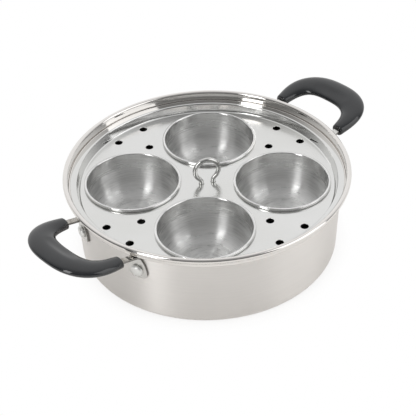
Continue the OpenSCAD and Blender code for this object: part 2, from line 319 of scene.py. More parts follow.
# Noise seldom leaves these ranges, so they are stretched to the whole of a mix
CLOUD_RANGE = {"From Min": 0.35, "From Max": 0.65}
GRAIN_RANGE = {"From Min": 0.3, "From Max": 0.7}


def round_scratches(tree, streaks=2.5):
    """A place for the noise that runs round the axis: long along U, and one grit spacing along V."""
    uv = add(tree, "ShaderNodeUVMap", uv_map="UVMap")
    parts = add(tree, "ShaderNodeSeparateXYZ", {0: uv})
    angle = add(tree, "ShaderNodeMath", {0: parts.outputs["X"], 1: 2 * pi}, operation="MULTIPLY")
    wave = [add(tree, "ShaderNodeMath", {0: angle}, operation=kind) for kind in ("COSINE", "SINE")]
    ring = [add(tree, "ShaderNodeMath", {0: w, 1: streaks}, operation="MULTIPLY") for w in wave]
    line = add(tree, "ShaderNodeMath", {0: parts.outputs["Y"], 1: 1 / BELT}, operation="MULTIPLY")
    return add(tree, "ShaderNodeCombineXYZ", {"X": ring[0], "Y": ring[1], "Z": line})


def wheel_haze(tree):
    """A place for the noise on polished steel: the same spacing every way."""
    place = add(tree, "ShaderNodeTexCoord").outputs["Object"]
    return add(tree, "ShaderNodeVectorMath", {0: place, "Scale": 1 / HAZE}, operation="SCALE")


# %% Steel


def steel(name, marks, bright, dull, satin, polished, depth, anisotropy=0.0, spread=0.16, lines=0.0):
    """Stainless steel: satin roughness where the attribute polish is 0, polished where it is 1.

    The depth of the marks is in millimetres, spread is how far they vary the roughness, and lines is
    their share in the tone, where the rest is a soft cloud.
    """
    material = bpy.data.materials.new(name)
    tree = empty_tree(material)
    scratch = add(tree, "ShaderNodeTexNoise", {"Vector": marks(tree), "Scale": 1.0, "Detail": 3.0,
                                               "Roughness": 0.6})
    place = add(tree, "ShaderNodeTexCoord").outputs["Object"]
    cloud = add(tree, "ShaderNodeTexNoise", {"Vector": place, "Scale": 14.0, "Detail": 4.0})
    polish = add(tree, "ShaderNodeAttribute", attribute_name="polish").outputs["Fac"]
    tone = add(tree, "ShaderNodeMapRange", {"Value": cloud, **CLOUD_RANGE})
    ends = {"Value": scratch, **GRAIN_RANGE}
    groove = add(tree, "ShaderNodeMapRange", ends)
    share = add(tree, "ShaderNodeMix", {0: lines, 2: tone, 3: groove})
    colour = add(tree, "ShaderNodeMix", {0: share, 6: hex_colour(dull), 7: hex_colour(bright)},
                 data_type="RGBA").outputs[2]
    rough = []
    for level in (satin, polished):
        limits = {"To Min": (1 - spread) * level, "To Max": (1 + spread) * level}
        rough.append(add(tree, "ShaderNodeMapRange", {**ends, **limits}))
    roughness = add(tree, "ShaderNodeMix", {0: polish, 2: rough[0], 3: rough[1]})
    strength = add(tree, "ShaderNodeMapRange", {"Value": polish, "To Min": 1.0, "To Max": POLISHED_BUMP})
    bump = add(tree, "ShaderNodeBump", {"Strength": strength, "Distance": depth * MM, "Height": scratch})
    sockets = {"Base Color": colour, "Metallic": 1.0, "Roughness": roughness, "Normal": bump}
    if anisotropy:
        tangent = add(tree, "ShaderNodeTangent", direction_type="UV_MAP", uv_map="UVMap")
        sockets.update({"Tangent": tangent, "Anisotropic": anisotropy, "Anisotropic Rotation": 0.25})
    shader = add(tree, "ShaderNodeBsdfPrincipled", sockets)
    add(tree, "ShaderNodeOutputMaterial", {"Surface": shader})
    return material


pan_steel = steel("spun stainless steel, satin side", round_scratches, "e7e4e1", "dddad7",
                  satin=0.40, polished=0.07, depth=0.008, anisotropy=0.85, lines=0.5)
cup_steel = steel("turned stainless steel, cups", round_scratches, "f4f4f3", "cacac9",
                  satin=0.44, polished=0.14, depth=0.016, anisotropy=1.0, spread=0.3, lines=0.75)
tray_steel = steel("polished stainless steel, tray", wheel_haze, "dededd", "d9d9d7",
                   satin=0.20, polished=0.07, depth=0.002)
wire_steel = steel("polished stainless wire", wheel_haze, "d2d2d0", "cacac8",
                   satin=0.13, polished=0.09, depth=0.002)
strip_steel = steel("stamped stainless strip", wheel_haze, "d6d5d2", "cbcac7",
                    satin=0.18, polished=0.14, depth=0.002)
# The strip edge's dark colour is painted shade for the dark gap and contact shadow round the bracket; its
# higher roughness is the sheared edge's own.
edge_steel_painted_shade = steel("sheared edge of the strip", wheel_haze, "8f8d8a", "7b7976",
                   satin=0.42, polished=0.36, depth=0.004)
rivet_steel = steel("satin stainless rivets", wheel_haze, "e2e2e0", "dadad8",
                    satin=0.40, polished=0.36, depth=0.002)
print("seven steels")

# %% [markdown]
# ## The pan
#
# The pan is one sheet, 1 mm thick. Its flat base turns up through a small corner into a side that leans
# out a little, then steps out to the shoulder that carries the tray, and ends in a rolled rim. The
# section runs from the middle of the base round the outside, over the rim and back to the middle of
# the floor, so that the turned shape is closed and its faces point outwards.

# %% Pan sizes
SHEET = 1.0
BASE_R = 100.0
SIDE_TOP = (102.8, 59.0)
COLLAR_R = 107.0
RIM_R = 110.0
RIM_Z = 68.0
BEAD_R = 2.0
BEAD_START, BEAD_SWEEP = -120, 300
CORNERS_OUT = [5.0, 0.8, 1.6]   # at the base, under the shoulder and in the shoulder
CORNERS_IN = [0.6, 1.8, 4.0]
FLOOR_EASE = 0.05   # the inside of the leaning side meets the floor this much further out
BRIGHT_FROM = SIDE_TOP[1] + 0.2

# %% Pan
bead_middle = (RIM_R - BEAD_R, RIM_Z - BEAD_R)
under_bead = RIM_Z - BEAD_R - sqrt(BEAD_R ** 2 - (RIM_R - BEAD_R - COLLAR_R) ** 2)
outside = rounded([(0, 0), (BASE_R, 0), SIDE_TOP, (COLLAR_R, SIDE_TOP[1]), (COLLAR_R, under_bead)],
                  CORNERS_OUT)
bead = arc(bead_middle, BEAD_R, BEAD_START, BEAD_SWEEP, 30)
floor_r = BASE_R - SHEET + FLOOR_EASE
inside = rounded([(COLLAR_R - SHEET, RIM_Z - BEAD_R), (COLLAR_R - SHEET, SIDE_TOP[1] + SHEET),
                  (SIDE_TOP[0] - SHEET, SIDE_TOP[1] + SHEET), (floor_r, SHEET), (0, SHEET)], CORNERS_IN)
pan_line = outside[:-1] + bead + inside[1:]


def pan_polish(p):
    """Bright from the rolled rim to the shoulder, satin on the side and the floor."""
    return 1.0 if p.y > BRIGHT_FROM else 0.0


pan_section = section_object("pan_section", pan_line, pan_polish)
pan = made_by(TURNING, pan_section, "pan", steps=216, place=(0, 0, 0), material=pan_steel)
bin_object(pan_section)
settle(pan, "pan", "pan_steel", "pan_body")

# %% [markdown]
# ## The egg cups
#
# Each cup is a deep drawn bowl of 0.6 mm sheet with a rolled rim, which rests flat on the tray and
# keeps the cup from falling through. All four are the same section, turned once and placed four times,
# one mesh for each, because each cup lifts out by itself.

# %% Cups
CUP_PLACE = 57.5
CUP_RIM_Z = 56.2
CUP_BORE_R = 35.3
CUP_SHEET = 0.6
CUP_DEPTH = 35.0
CUP_TAPER = 1.8
CUP_CORNER_R = 14.0
CUP_BEAD = (2.2, 2.4)   # width and height of the rolled rim
CUP_BEAD_START, CUP_BEAD_SWEEP = -112, 292
CUP_BEAD_SQUARE = 0.86   # below 1 the roll is squarer than an ellipse
FLOOR_BLEND = 14.0   # height over which the wall's satin gives way to the smoother floor
FLOOR_POLISH = 0.3
ROLL_POLISH = 0.8   # share of the rolled rim's height that is polished
SEAM_IN, SEAM_LOW = 0.02, 0.05   # the wall ends this far inside and below the start of the roll


def smooth(t):
    """Eases from 0 to 1 without a corner at either end."""
    t = min(max(t, 0), 1)
    return t * t * (3 - 2 * t)


def cup_line():
    """Section of a cup, with its rim at height zero, from the middle of the outside to that of the inside."""
    wall_r = CUP_BORE_R + CUP_SHEET
    low_r = wall_r - CUP_TAPER
    low_z = -CUP_DEPTH - CUP_SHEET
    half_w, half_h = CUP_BEAD[0] / 2, CUP_BEAD[1] / 2
    middle = Vector((CUP_BORE_R + half_w, -half_h))
    outer = rounded([(0, low_z), (low_r, low_z), (wall_r, -half_h)], [CUP_CORNER_R], steps=16)
    inner = rounded([(CUP_BORE_R, -half_h), (low_r - CUP_SHEET, -CUP_DEPTH), (0, -CUP_DEPTH)],
                    [CUP_CORNER_R - CUP_SHEET], steps=16)
    turns = [radians(CUP_BEAD_START + CUP_BEAD_SWEEP * k / 32) for k in range(33)]
    ring = [middle + Vector(p) for p in oval(half_w, half_h, CUP_BEAD_SQUARE, turns)]
    outer[-1] = Vector((wall_r - SEAM_IN, ring[0].y - SEAM_LOW))
    return outer + ring + inner[1:]


def cup_polish(p):
    """Turned satin on the wall, smoother on the rolled rim, and smoother still towards the floor."""
    if p.y > -CUP_BEAD[1] * ROLL_POLISH:
        return 1.0
    up = (p.y + CUP_DEPTH) / FLOOR_BLEND
    return FLOOR_POLISH * (1.0 - smooth(up))


cup_section = section_object("cup_section", cup_line(), cup_polish)
for number in range(1, 5):
    place = [c * MM for c in polar(CUP_PLACE, radians(90 * number - 45), CUP_RIM_Z)]
    cup = made_by(TURNING, cup_section, f"cup_{number}", steps=144, place=place, material=cup_steel)
    settle(cup, f"cup_{number}", "cup_steel", f"egg_cup_{number}")
bin_object(cup_section)

# %% [markdown]
# ## The tray
#
# The tray is pressed from 0.8 mm sheet: a flat plate, a step up to a flange that rests on the pan's
# shoulder, four large holes for the cups, twelve steam holes and two small holes for the loop's legs.
# Cutting holes in a mesh with booleans leaves ragged faces that spoil a polished surface. Here the
# plate is filled between circles instead: one outer circle and one circle for each hole. A half round
# lip is swept round each hole, and the turned step and flange are joined on the outer circle. The level
# faces get exactly level normals, so that the shading of the lips doesn't bleed into the plate.

# %% Tray sizes
TRAY_SHEET = 0.8
FLANGE_Z = 60.8
PLATE_Z = 53.8
TRAY_R = 105.0
STEP_TOP_R = 100.0
PLATE_R = 97.8
TRAY_TURN_R = 1.2
JOIN_R = 95.2
STEP_BLEND = 1.5   # the plate's haze gives way to the bright step over this radius
tray_top = [(JOIN_R, PLATE_Z), (PLATE_R, PLATE_Z), (STEP_TOP_R, FLANGE_Z), (TRAY_R, FLANGE_Z)]
tray_under = beside(tray_top, -TRAY_SHEET)
half_sheet = TRAY_SHEET / 2
tray_edge_x = TRAY_R - half_sheet
tray_section_line = (
    rounded(tray_under[:3] + [(tray_edge_x, FLANGE_Z - TRAY_SHEET)],
            [TRAY_TURN_R + TRAY_SHEET, TRAY_TURN_R - TRAY_SHEET])[:-1]
    + arc((tray_edge_x, FLANGE_Z - half_sheet), half_sheet, -90, 180, 8)
    + rounded([(tray_edge_x, FLANGE_Z)] + tray_top[2::-1], [TRAY_TURN_R, TRAY_TURN_R])[1:])

# %% The tray's tree


def tray_tree():
    lengths = ["Join Radius", "Plate Height", "Sheet", "Cup Place", "Cup Hole", "Steam Hole", "Inner Place",
               "Outer Place", "Leg Place", "Leg Hole"]
    tree, given = new_tree("perforated tray", [("Section", "Geometry"), ("Steps", "Int", 180),
                                               ("Pair Turn", "Float", 0.1), ("Loop Turn", "Float", 0.0)]
                           + [(label, "Float", 0.01) for label in lengths])
    half = add(tree, "ShaderNodeMath", {0: given["Sheet"], 1: 0.5}, operation="MULTIPLY")
    lower = add(tree, "ShaderNodeMath", {0: half, 1: -1}, operation="MULTIPLY")
    below = add(tree, "ShaderNodeCombineXYZ", {"Z": lower})
    lip = add(tree, "GeometryNodeCurveArc",
              {"Resolution": 9, "Radius": half, "Start Angle": pi / 2, "Sweep Angle": pi})

    def spots(radius, turn):
        ring = add(tree, "GeometryNodeMeshCircle", {"Vertices": 4, "Radius": radius})
        spin = add(tree, "ShaderNodeCombineXYZ", {"Z": turn})
        return add(tree, "GeometryNodeTransform", {"Geometry": ring, "Rotation": spin})

    pair_turn = given["Pair Turn"]
    back_turn = add(tree, "ShaderNodeMath", {0: pair_turn, 1: -1}, operation="MULTIPLY")
    outer = [spots(given["Outer Place"], turn) for turn in (pair_turn, back_turn)]
    steam = add(tree, "GeometryNodeJoinGeometry", {0: [spots(given["Inner Place"], 0.0)] + outer})
    leg_end = add(tree, "ShaderNodeCombineXYZ", {"X": given["Leg Place"]})
    leg_start = add(tree, "ShaderNodeVectorMath", {0: leg_end, "Scale": -1}, operation="SCALE")
    leg_line = add(tree, "GeometryNodeMeshLine", {"Count": 2, "Start Location": leg_start, "Offset": leg_end},
                   mode="END_POINTS")
    loop_spin = add(tree, "ShaderNodeCombineXYZ", {"Z": given["Loop Turn"]})
    legs = add(tree, "GeometryNodeTransform", {"Geometry": leg_line, "Rotation": loop_spin})
    families = [(spots(given["Cup Place"], pi / 4), given["Cup Hole"], 144),
                (steam, given["Steam Hole"], 32), (legs, given["Leg Hole"], 24)]
    rim = add(tree, "GeometryNodeCurvePrimitiveCircle",
              {"Resolution": given["Steps"], "Radius": given["Join Radius"]})
    edges, lips = [rim], []
    for points, radius, steps in families:
        wide = add(tree, "ShaderNodeMath", {0: radius, 1: half}, operation="ADD")
        circle = add(tree, "GeometryNodeCurvePrimitiveCircle", {"Resolution": steps, "Radius": wide})
        edges.append(add(tree, "GeometryNodeInstanceOnPoints", {"Points": points, "Instance": circle}))
        swept = add(tree, "GeometryNodeCurveToMesh", {"Curve": circle, "Profile Curve": lip})
        lowered = add(tree, "GeometryNodeTransform", {"Geometry": swept, "Translation": below})
        lips.append(add(tree, "GeometryNodeInstanceOnPoints", {"Points": points, "Instance": lowered}))
    edges = add(tree, "GeometryNodeJoinGeometry", {0: edges})
    lips = add(tree, "GeometryNodeJoinGeometry", {0: lips})
    outline = add(tree, "GeometryNodeRealizeInstances", {0: edges})
    top = add(tree, "GeometryNodeFillCurve", {"Curve": outline})
    under = add(tree, "GeometryNodeFlipFaces", {0: top})
    drop = add(tree, "ShaderNodeVectorMath", {0: below, "Scale": 2}, operation="SCALE")
    under = add(tree, "GeometryNodeTransform", {"Geometry": under, "Translation": drop})
    lips = add(tree, "GeometryNodeRealizeInstances", {0: lips})
    plate = add(tree, "GeometryNodeJoinGeometry", {0: [top, under, lips]})
    height = add(tree, "ShaderNodeCombineXYZ", {"Z": given["Plate Height"]})
    lifted = add(tree, "GeometryNodeTransform", {"Geometry": plate, "Translation": height})
    ring = add(tree, "GeometryNodeGroup", {"Section": given["Section"], "Steps": given["Steps"]},
               node_tree=TURNING)
    whole = add(tree, "GeometryNodeJoinGeometry", {0: [ring, lifted]})
    merged = add(tree, "GeometryNodeMergeByDistance", {"Geometry": whole, "Distance": 5e-6})
    spot = add(tree, "ShaderNodeSeparateXYZ", {0: add(tree, "GeometryNodeInputPosition")})
    flat_spot = add(tree, "ShaderNodeCombineXYZ", {"X": spot.outputs["X"], "Y": spot.outputs["Y"]})
    radius = add(tree, "ShaderNodeVectorMath", {0: flat_spot}, operation="LENGTH").outputs["Value"]
    past = add(tree, "ShaderNodeMath", {0: radius, 1: given["Join Radius"]}, operation="SUBTRACT")
    share = add(tree, "ShaderNodeMapRange", {"Value": past, "From Max": STEP_BLEND * MM})
    finish_tree(tree, store(tree, merged, "polish", share), given)
    return tree


# %% Tray
STEAM_R = 3.0
CUP_HOLE_R = 36.3
INNER_SHARE, OUTER_SHARE = 0.69, 0.93   # where the steam holes lie, as shares of the plate's radius
PAIR_TURN = radians(8.3)
LOOP_TURN = radians(-27)
LEG_PLACE = 4.7
LEG_HOLE_R = 1.95
tray_section = section_object("tray_section", tray_section_line)
tray = made_by(tray_tree(), tray_section, "tray", steps=216, pair_turn=PAIR_TURN, loop_turn=LOOP_TURN,
               join_radius=JOIN_R * MM, plate_height=PLATE_Z * MM, sheet=TRAY_SHEET * MM,
               cup_place=CUP_PLACE * MM, cup_hole=CUP_HOLE_R * MM, steam_hole=STEAM_R * MM,
               inner_place=INNER_SHARE * PLATE_R * MM, outer_place=OUTER_SHARE * PLATE_R * MM,
               leg_place=LEG_PLACE * MM, leg_hole=LEG_HOLE_R * MM, material=tray_steel)
bin_object(tray_section)
normals = [Vector((0, 0, 0))] * len(tray.data.loops)   # a zero keeps the smooth normal
for face in tray.data.polygons:
    if abs(face.normal.z) > 0.9999:
        for k in face.loop_indices:
            normals[k] = face.normal.copy()
tray.data.normals_split_custom_set(normals)
print("level corners of the tray:", sum(1 for normal in normals if normal.length > 0.5))
settle(tray, "tray", "tray_steel", "egg_tray")

# %% [markdown]
# ## The lifting loop
#
# The tray is lifted by a ring of polished wire. Both ends bend down, pass through two small holes in the
# plate and are headed over below it. A wire is a circle swept along a path: here the path carries its
# own swell, 1 along the wire and more where an end was hammered into a head.

# %% Wire tree


def wire_tree():
    tree, given = new_tree("headed wire", [("Path", "Geometry"), ("Wire Radius", "Float", 0.001),
                                           ("Sides", "Int", 24)])
    curve = add(tree, "GeometryNodeMeshToCurve", {0: given["Path"]})
    circle = add(tree, "GeometryNodeCurvePrimitiveCircle",
                 {"Resolution": given["Sides"], "Radius": given["Wire Radius"]})
    swept = add(tree, "GeometryNodeCurveToMesh", {"Curve": curve, "Profile Curve": circle,
                                                  "Scale": stored(tree, "swell"), "Fill Caps": True})
    finish_tree(tree, store(tree, swept, "polish", 1.0), given)
    return tree


# %% Loop sizes
WIRE_R = 1.85
LOOP_R = 9.4
LOOP_Z = 65.55
LOOP_BEND_R = 4.2
HEAD_T = 1.295
NECK = (0.04, 0.35)   # heights above the head from where the wire has its own width
# Swell of the wire by the share of the head's thickness, from its lower end up
HEAD_SHARES = [(0.0, 1.36), (0.07, 1.5), (0.2, 1.64), (0.4, 1.7),
               (0.66, 1.7), (0.84, 1.62), (0.94, 1.46), (1.0, 1.2)]

# %% Loop
bend_x = LEG_PLACE + LOOP_BEND_R
bend_z = LOOP_Z - sqrt((LOOP_R + LOOP_BEND_R) ** 2 - bend_x ** 2)
opening = atan2(bend_x, LOOP_Z - bend_z) * 180 / pi
head_top = PLATE_Z - TRAY_SHEET
leg = [(Vector((LEG_PLACE, head_top - HEAD_T * (1 - share))), swell) for share, swell in HEAD_SHARES]
leg += [(Vector((LEG_PLACE, head_top + z)), 1.0) for z in NECK]
foot_bend = [(p, 1.0) for p in arc((bend_x, bend_z), LOOP_BEND_R, 180, opening - 90, 20)]
ring = [(p, 1.0) for p in arc((0, LOOP_Z), LOOP_R, opening - 90, 360 - 2 * opening, 108)]
right_side = leg + foot_bend
wire_path = right_side + ring[1:-1] + [(Vector((-p.x, p.y)), swell) for p, swell in reversed(right_side)]
turned_path = [polar(p.x, LOOP_TURN, p.y) for p, swell in wire_path]
path_object = line_object("wire_path", turned_path, swell=[swell for p, swell in wire_path])
loop = made_by(wire_tree(), path_object, "loop", wire_radius=WIRE_R * MM, sides=28, material=wire_steel)
bin_object(path_object)
settle(loop, "tray", "wire_steel", "lift_loop")

# %% [markdown]
# ## Brackets
#
# Each end of a handle is held by a bracket: a tongue of sheet riveted flat to the side, which narrows,
# bends out under the rim and runs into the grip. A press stamps it flat and bends it, so it is modelled
# the same way: a row of widths along a bent path, then a thickness, then softened edges. The edge that
# the press sheared is duller than the polished faces, and its colour is darker than the steel's own:
# painted shade for the dark gap and contact shadow round the bracket. So it has a steel of its own.

# %% Where the side and the feet are
RIVET_TURN = radians(17.5)
RIVET_Z = 45.0
GRIP_SPAN = 31.0
GRIP_END_X = 113.5
GRIP_END_Z = 60.9
side_lean = atan2(SIDE_TOP[0] - BASE_R, SIDE_TOP[1])


def wall_r(z):
    """Outer radius of the pan's side at height z."""
    return BASE_R + (SIDE_TOP[0] - BASE_R) * z / SIDE_TOP[1]


# %% Bracket sizes
STRIP_T = 1.6
STRIP_GAP = 0.05
FOOT_LOW = 37.6
FOOT_HALF_W = 7.7
FOOT_CORNER_R = 4.6
BEND_START_Z = 55.8
BEND_R = 1.5
ARM_HALF_W = 2.5
TANG_L = 7.0
EDGE_SOFT = 0.32   # the worn edge of the strip
SHARP = radians(50)   # edges that are sharper than this are softened
COLUMNS = 10
# Half widths of the tongue by the height of its middle line, from the straight part up to the arm
NARROWING = [(44.0, 7.6), (47.0, 7.2), (49.7, 6.6), (51.2, 6.1), (52.4, 5.6), (54.0, 4.8),
             (55.4, 4.0), (56.3, 3.4), (56.9, 2.9), (57.2, 2.6), (57.5, 2.5)]

# %% Bracket path


def foot_half(z):
    """Half the width of a bracket where its middle line is at height z."""
    up = z - FOOT_LOW
    if up < FOOT_CORNER_R:
        return FOOT_HALF_W - FOOT_CORNER_R + sqrt(FOOT_CORNER_R ** 2 - (FOOT_CORNER_R - up) ** 2)
    before = (FOOT_LOW + FOOT_CORNER_R, FOOT_HALF_W)
    for at in NARROWING:
        if z < at[0]:
            return before[1] + (at[1] - before[1]) * (z - before[0]) / (at[0] - before[0])
        before = at
    return ARM_HALF_W


def strip_rows():
    """Rows of the strip: middle, sideways direction, half width, how far it hugs the side, and its turn."""
    foot_r = wall_r(BEND_START_Z) + STRIP_GAP + STRIP_T / 2
    bend_start = Vector((foot_r * cos(RIVET_TURN), GRIP_SPAN, BEND_START_Z))
    bend_middle = bend_start.x + BEND_R
    reach = Vector((GRIP_END_X - bend_middle, GRIP_END_Z - BEND_START_Z))
    rise = atan2(reach.y, reach.x) - asin(BEND_R / reach.length)
    rows = []
    corner_heights = [FOOT_LOW + FOOT_CORNER_R * (1 - cos(radians(a))) for a in range(4, 90, 8)]
    corner_top = FOOT_LOW + FOOT_CORNER_R
    side_heights = [corner_top + (BEND_START_Z - corner_top) * k / 14 for k in range(15)]
    sideways = Vector((-sin(RIVET_TURN), cos(RIVET_TURN), 0))
    for z in corner_heights + side_heights:
        r = wall_r(z) + STRIP_GAP + STRIP_T / 2
        rows.append((Vector(polar(r, RIVET_TURN, z)), sideways, foot_half(z), 1.0, RIVET_TURN))
    steps = 14
    for k in range(1, steps + 1):
        a = (pi / 2 - rise) * k / steps
        eased = smooth(k / steps)
        turn = RIVET_TURN * (1 - eased)
        z = BEND_START_Z + BEND_R * sin(a)
        y = foot_r * sin(RIVET_TURN) * (1 - eased) + GRIP_SPAN * eased
        middle = Vector((bend_middle - BEND_R * cos(a), y, z))
        rows.append((middle, Vector((-sin(turn), cos(turn), 0)), foot_half(z), 1 - eased, turn))
    end_x = GRIP_END_X + TANG_L
    start = rows[-1][0]
    for k in range(1, 7):
        x = start.x + (end_x - start.x) * k / 6
        middle = Vector((x, GRIP_SPAN, GRIP_END_Z + (x - GRIP_END_X) * sin(rise) / cos(rise)))
        rows.append((middle, Vector((0, 1, 0)), ARM_HALF_W, 0.0, 0.0))
    return rows, rise


def bracket(number):
    """A bracket for foot 1 to 4: mirrored for odd feet, turned by half a turn for the second handle."""
    side = -1 if number % 2 else 1
    facing = 1 if number < 3 else -1
    points, faces = [], []
    for centre, sideways, half, hugging, turn in STRIP:
        out = Vector(polar(1, turn))
        for column in range(COLUMNS + 1):
            across = half * (2 * column / COLUMNS - 1)
            p = centre + sideways * across - out * hugging * across ** 2 / (2 * wall_r(centre.z))
            points.append((facing * p.x, facing * side * p.y, p.z))
    for row in range(len(STRIP) - 1):
        for column in range(COLUMNS):
            corner = row * (COLUMNS + 1) + column
            face = [corner, corner + 1, corner + COLUMNS + 2, corner + COLUMNS + 1]
            faces.append(face if side > 0 else face[::-1])
    sheet = mesh_object(f"bracket_{number}_sheet", points, faces=faces, materials=[strip_steel, edge_steel_painted_shade])
    thick = sheet.modifiers.new("sheet", "SOLIDIFY")
    thick.thickness = STRIP_T * MM
    thick.offset = 0
    # The rim faces take the edge steel, whose dark colour is painted shade.
    thick.material_offset_rim = 1
    soft = sheet.modifiers.new("edges", "BEVEL")
    soft.width = EDGE_SOFT * MM
    soft.segments = 3
    soft.limit_method = "ANGLE"
    soft.angle_limit = SHARP
    sheet.modifiers.new("shading", "WEIGHTED_NORMAL")
    piece = kept(sheet, f"bracket_{number}")
    bin_object(sheet)
    return piece


STRIP, arm_rise = strip_rows()
print("the arms rise by", round(arm_rise * 180 / pi, 1), "degrees")
for number in range(1, 5):
    settle(bracket(number), "pan", "bracket_steel", f"handle_bracket_{number}")

# %% [markdown]
# ## Rivets
#
# Four domed rivets hold the brackets: head outside, shank through tongue and side, flat tail inside. One
# section is turned once and put on four places, each pointing straight out of the leaning side. The
# places are four loose points that carry their own direction.

# %% Rivets


def rivet_tree():
    tree, given = new_tree("rivets on places", [("Places", "Geometry"), ("Section", "Object"),
                                                ("Steps", "Int", 48)])
    outline = add(tree, "GeometryNodeObjectInfo", {"Object": given["Section"]}).outputs["Geometry"]
    turned = add(tree, "GeometryNodeGroup", {"Section": outline, "Steps": given["Steps"]}, node_tree=TURNING)
    out = stored(tree, "out", "FLOAT_VECTOR")
    aim = add(tree, "FunctionNodeAlignRotationToVector", {"Vector": out}, axis="Z")
    placed = add(tree, "GeometryNodeInstanceOnPoints", {"Points": given["Places"],
                                                        "Instance": turned, "Rotation": aim})
    finish_tree(tree, placed, given)
    return tree


HEAD_R, HEAD_H = 4.8, 2.8
HEAD_SQUARE = 0.66   # below 1 the dome is fuller than an ellipse
HEAD_LIP, HEAD_SOFT = 0.3, 0.08   # the guard point under the head, and its softened edge
SHANK_R = 2.0
TAIL_R, TAIL_T = 3.4, 0.8
TAIL_EDGES = [0.35, 0.15]
HEAD_GAP, TAIL_GAP = 0.03, 0.02
head_z = STRIP_T + HEAD_GAP
tail_z = -SHEET - TAIL_GAP
quarter = [pi / 2 * k / 16 for k in range(17)]
dome = [Vector((x, head_z + y)) for x, y in oval(HEAD_R, HEAD_H, HEAD_SQUARE, quarter)]
tail = [(0, tail_z - TAIL_T), (TAIL_R, tail_z - TAIL_T), (TAIL_R, tail_z), (SHANK_R, tail_z)]
rivet_line = rounded(tail, TAIL_EDGES, steps=4)
rivet_line += [Vector((SHANK_R, head_z)), Vector((HEAD_R - HEAD_LIP, head_z))]
rivet_line += [Vector((HEAD_R - HEAD_SOFT, head_z + HEAD_SOFT))] + dome[1:]
rivet_section = section_object("rivet_section", rivet_line, lambda p: 0.0)
turns = [-RIVET_TURN, RIVET_TURN, pi - RIVET_TURN, pi + RIVET_TURN]
seat_r = wall_r(RIVET_Z)
places = mesh_object("rivet_places", [polar(seat_r, t, RIVET_Z) for t in turns])
outward = [c for t in turns for c in polar(cos(side_lean), t, -sin(side_lean))]
places.data.attributes.new("out", "FLOAT_VECTOR", "POINT").data.foreach_set("vector", outward)
rivets = made_by(rivet_tree(), places, "rivets", section=rivet_section, steps=48, material=rivet_steel)
bin_object(rivet_section)
bin_object(places)
settle(rivets, "pan", "rivet_steel", "rivet_1", "rivet_2", "rivet_3", "rivet_4")

# %% [markdown]
# ## Grips
#
# The handles wear moulded grips of black phenolic, the hard plastic of stove knobs, because it neither
# melts nor gets hot. A grip is one section swept along a bow: narrow and level at its ends, wide and
# tipped up at the middle, with a shallow scoop on its inner top side for the fingertips. The ends are
# rounded off and each has a socket for the bracket's arm.

# %% Grip sizes
GRIP_MID_X = 145.9
GRIP_STRAIGHT = 4.4
GRIP_BOW = 2.7
GRIP_ROUND = 2.05
GRIP_W = (10.0, 22.0)
GRIP_T = 8.8
GRIP_LEAN = radians(10)
GRIP_MID_Z = 68.0
GRIP_EDGE_R = 1.3
SOCKET = (2.85, 1.15)   # half width and half height
SOCKET_DEPTH = 5.0
SOCKET_SQUARE = 0.45
SOCKET_LIP, SOCKET_SOFT = 0.3, 0.08
SCOOP_DEPTH = 0.9
SCOOP_REACH = 0.62   # how far along the grip the scoop runs, as a share of half its span
SCOOP_PLACE, SCOOP_WIDTH, SCOOP_EASE = 0.42, 0.46, 1.4   # across the grip, as shares of half its width
GRIP_SIDES = 56
AROUND = [2 * pi * j / GRIP_SIDES for j in range(GRIP_SIDES)]


def bow(share):
    """Middle line of a grip in plan, for a share from -1 to 1."""
    start = GRIP_END_X + GRIP_STRAIGHT
    x, y = oval(GRIP_MID_X - start, GRIP_SPAN, 2 / GRIP_BOW, [share * pi / 2])[0]
    return Vector((start + x, y))


def evenly(line, count):
    """The same line with count points at equal distances."""
    lengths = [0.0]
    for before, at in zip(line, line[1:]):
        lengths.append(lengths[-1] + (at - before).length)
    even, k = [], 0
    for n in range(count):
        want = lengths[-1] * n / (count - 1)
        while k < len(line) - 2 and lengths[k + 1] < want:
            k += 1
        even.append(line[k].lerp(line[k + 1], (want - lengths[k]) / (lengths[k + 1] - lengths[k])))
    return even


# %% Grip shape


def grip_section(here, along, inset, spot):
    """One ring of a grip's outline at a place of its middle line, drawn in by inset.

    The spot is the place along the grip, from -1 to 1, and tells how deep the scoop is there.
    """
    out = Vector((along.y, -along.x))
    share = (here.x - GRIP_END_X) / (GRIP_MID_X - GRIP_END_X)
    half_w = (GRIP_W[0] + (GRIP_W[1] - GRIP_W[0]) * share) / 2 - inset
    half_t = GRIP_T / 2 - inset
    lean = GRIP_LEAN * share
    z = GRIP_END_Z + (GRIP_MID_Z - GRIP_END_Z) * share
    reach = max(0, 1 - (spot / SCOOP_REACH) ** 2)
    ring = []
    for u, v in oval(half_w, half_t, 2 / GRIP_ROUND, AROUND):
        if v > 0 and reach > 0:
            near = (u / half_w + SCOOP_PLACE) / SCOOP_WIDTH
            v -= SCOOP_DEPTH * reach * max(0, 1 - near ** 2) ** SCOOP_EASE
        level = u * cos(lean) - v * sin(lean)
        raised = u * sin(lean) + v * cos(lean)
        ring.append(Vector((here.x + out.x * level, here.y + out.y * level, z + raised)))
    return ring


def socket_ring(x, y, grow):
    """A rounded rectangle round the bracket's rising arm."""
    z = GRIP_END_Z + (x - GRIP_END_X) * sin(arm_rise) / cos(arm_rise)
    outline = oval(SOCKET[0] + grow, SOCKET[1] + grow, SOCKET_SQUARE, AROUND)
    return [Vector((x, y + u, z + v)) for u, v in outline]


